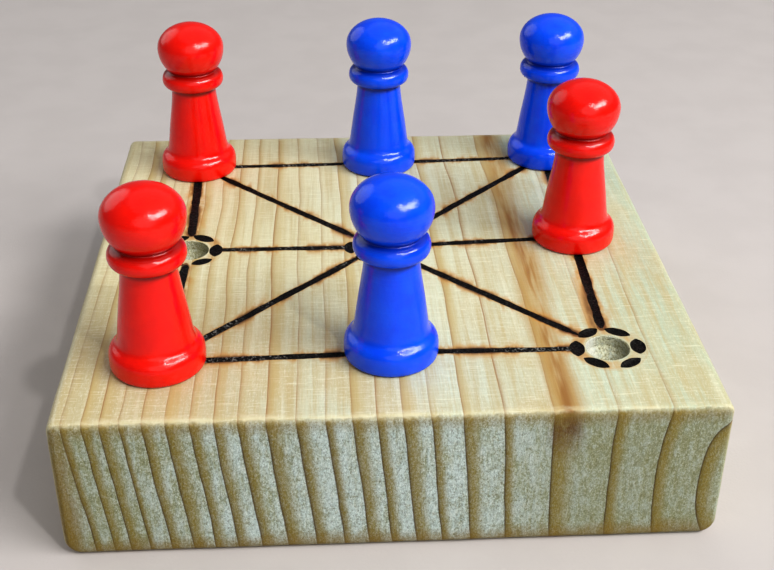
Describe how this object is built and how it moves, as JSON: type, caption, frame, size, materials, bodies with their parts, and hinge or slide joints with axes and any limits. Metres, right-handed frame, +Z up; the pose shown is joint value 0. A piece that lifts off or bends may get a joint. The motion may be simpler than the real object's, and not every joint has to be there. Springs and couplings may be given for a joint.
{
  "type": "peg board game",
  "caption": "Thick square wooden block with a square grid of shallow sockets that hold turned, painted pawn-shaped pegs for a line-up board game.",
  "frame": {"origin": "middle of the block's underside, on the table", "axes": "+X to the player's right, +Y away from the player and along the grain, +Z up"},
  "size_m": [0.14, 0.14, 0.0761],
  "materials": {
    "pine": "bare pine, sanded, with burned lines",
    "red_enamel": "turned wood in glossy red enamel",
    "blue_enamel": "turned wood in glossy blue enamel"
  },
  "bodies": {
    "board": {"board": "pine"},
    "peg_red_front_left": {"peg_red_front_left": "red_enamel"},
    "peg_red_back_left": {"peg_red_back_left": "red_enamel"},
    "peg_red_middle_right": {"peg_red_middle_right": "red_enamel"},
    "peg_blue_front_centre": {"peg_blue_front_centre": "blue_enamel"},
    "peg_blue_back_centre": {"peg_blue_back_centre": "blue_enamel"},
    "peg_blue_back_right": {"peg_blue_back_right": "blue_enamel"}
  },
  "joints": [
    {"name": "lift_red_front_left", "type": "slide", "parent": "board", "child": "peg_red_front_left", "axis": [0, 0, 1], "range_m": [0, 0.06]},
    {"name": "lift_red_back_left", "type": "slide", "parent": "board", "child": "peg_red_back_left", "axis": [0, 0, 1], "range_m": [0, 0.06]},
    {"name": "lift_red_middle_right", "type": "slide", "parent": "board", "child": "peg_red_middle_right", "axis": [0, 0, 1], "range_m": [0, 0.06]},
    {"name": "lift_blue_front_centre", "type": "slide", "parent": "board", "child": "peg_blue_front_centre", "axis": [0, 0, 1], "range_m": [0, 0.06]},
    {"name": "lift_blue_back_centre", "type": "slide", "parent": "board", "child": "peg_blue_back_centre", "axis": [0, 0, 1], "range_m": [0, 0.06]},
    {"name": "lift_blue_back_right", "type": "slide", "parent": "board", "child": "peg_blue_back_right", "axis": [0, 0, 1], "range_m": [0, 0.06]}
  ]
}
